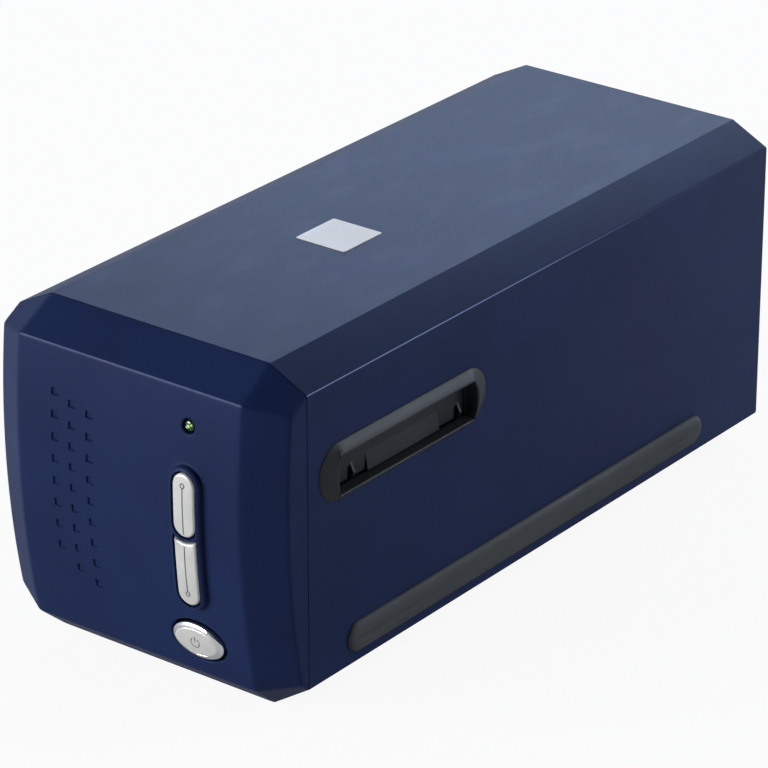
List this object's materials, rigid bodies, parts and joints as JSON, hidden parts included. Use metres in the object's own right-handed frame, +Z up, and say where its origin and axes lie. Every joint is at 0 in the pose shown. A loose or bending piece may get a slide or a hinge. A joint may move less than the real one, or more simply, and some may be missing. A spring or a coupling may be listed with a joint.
{
  "type": "film negative scanner",
  "caption": "Desktop film scanner: a long box with cut corners, a bowed front with push buttons, and a film slot with a dust door through both sides.",
  "frame": {"origin": "on the table, under the middle of the whole scanner with its buttons", "axes": "+X to the right, +Y from the button face to the back, +Z up"},
  "size_m": [0.12, 0.2744, 0.1187],
  "materials": {
    "navy_plastic": "fine satin grain",
    "white_film": "satin",
    "black_plastic": "satin",
    "rubber": "matt",
    "steel": "plain",
    "silver_plastic": "metallic paint, semi-gloss",
    "green_lens": "clear, tinted",
    "circuit_board": "solder mask",
    "grey_plastic": "plain",
    "brass": "machined",
    "dark_glass": "polished",
    "diffuser": "milky"
  },
  "bodies": {
    "housing": {"base_screw_front_left": "steel", "base_screw_front_right": "steel", "base_screw_rear_left": "steel", "base_screw_rear_right": "steel", "base_tray": "navy_plastic", "board_cable": "grey_plastic", "button_board": "circuit_board", "door_pin_left": "steel", "door_pin_right": "steel", "door_spring_left": "steel", "door_spring_right": "steel", "film_guide_lower": "black_plastic", "film_guide_upper": "black_plastic", "foot_front_left": "rubber", "foot_front_right": "rubber", "foot_rear_left": "rubber", "foot_rear_right": "rubber", "front_bezel": "navy_plastic", "guide_rod_left": "steel", "guide_rod_right": "steel", "lamp_lens": "green_lens", "main_board": "circuit_board", "motor_bracket": "steel", "power_inlet": "black_plastic", "processor_chip": "black_plastic", "rear_panel": "navy_plastic", "rear_screw_1": "steel", "rear_screw_2": "steel", "rear_screw_3": "steel", "rear_screw_4": "steel", "rod_bracket_front": "grey_plastic", "rod_bracket_rear": "grey_plastic", "screw_bearing": "grey_plastic", "side_pad_left": "rubber", "side_pad_right": "rubber", "slot_bezel_left": "black_plastic", "slot_bezel_right": "black_plastic", "stepper_motor": "steel", "switch_lower": "black_plastic", "switch_power": "black_plastic", "switch_upper": "black_plastic", "top_cover": "navy_plastic", "top_label": "white_film", "usb_socket": "steel"},
    "upper_button": {"scan_button_upper": "silver_plastic"},
    "lower_button": {"scan_button_lower": "silver_plastic"},
    "power_button_body": {"power_button": "silver_plastic"},
    "right_door": {"dust_door_right": "black_plastic"},
    "left_door": {"dust_door_left": "black_plastic"},
    "carriage": {"carriage_frame": "grey_plastic", "drive_nut": "brass", "folding_mirror": "dark_glass", "lens_barrel": "black_plastic", "sensor_board": "circuit_board", "line_sensor": "dark_glass", "lamp_arm": "grey_plastic", "lamp_bar": "diffuser"},
    "screw_shaft": {"lead_screw": "steel"},
    "detent": {"detent_plunger": "steel"}
  },
  "joints": [
    {"name": "upper_button_press", "type": "slide", "parent": "housing", "child": "upper_button", "axis": [0, 1, 0], "range_m": [0, 0.0012], "stiffness_N_per_m": 300, "springref_m": -0.001},
    {"name": "lower_button_press", "type": "slide", "parent": "housing", "child": "lower_button", "axis": [0, 1, 0], "range_m": [0, 0.0012], "stiffness_N_per_m": 300, "springref_m": -0.001},
    {"name": "power_button_press", "type": "slide", "parent": "housing", "child": "power_button_body", "axis": [0, 1, 0], "range_m": [0, 0.0014], "stiffness_N_per_m": 300, "springref_m": -0.001},
    {"name": "right_door_hinge", "type": "hinge", "parent": "housing", "child": "right_door", "pos_m": [0.0539, -0.0693, 0.0871], "axis": [0, 1, 0], "range_deg": [0, 80], "stiffness_Nm_per_rad": 0.0015, "springref_deg": -20.05},
    {"name": "left_door_hinge", "type": "hinge", "parent": "housing", "child": "left_door", "pos_m": [-0.0539, -0.0693, 0.0871], "axis": [0, -1, 0], "range_deg": [0, 80], "stiffness_Nm_per_rad": 0.0015, "springref_deg": -20.05},
    {"name": "carriage_travel", "type": "slide", "parent": "housing", "child": "carriage", "axis": [0, 1, 0], "range_m": [-0.013, 0.013]},
    {"name": "lead_screw_turn", "type": "hinge", "parent": "housing", "child": "screw_shaft", "pos_m": [-0.038, 0, 0.03], "axis": [0, 1, 0], "range_deg": [-590, 590]},
    {"name": "detent_press", "type": "slide", "parent": "housing", "child": "detent", "axis": [0, -1, 0], "range_m": [0, 0.001], "stiffness_N_per_m": 400, "springref_m": -0.001}
  ],
  "couplings": [
    {"joint": "lead_screw_turn", "follows": "carriage_travel", "rad_per_m": -785.4}
  ]
}
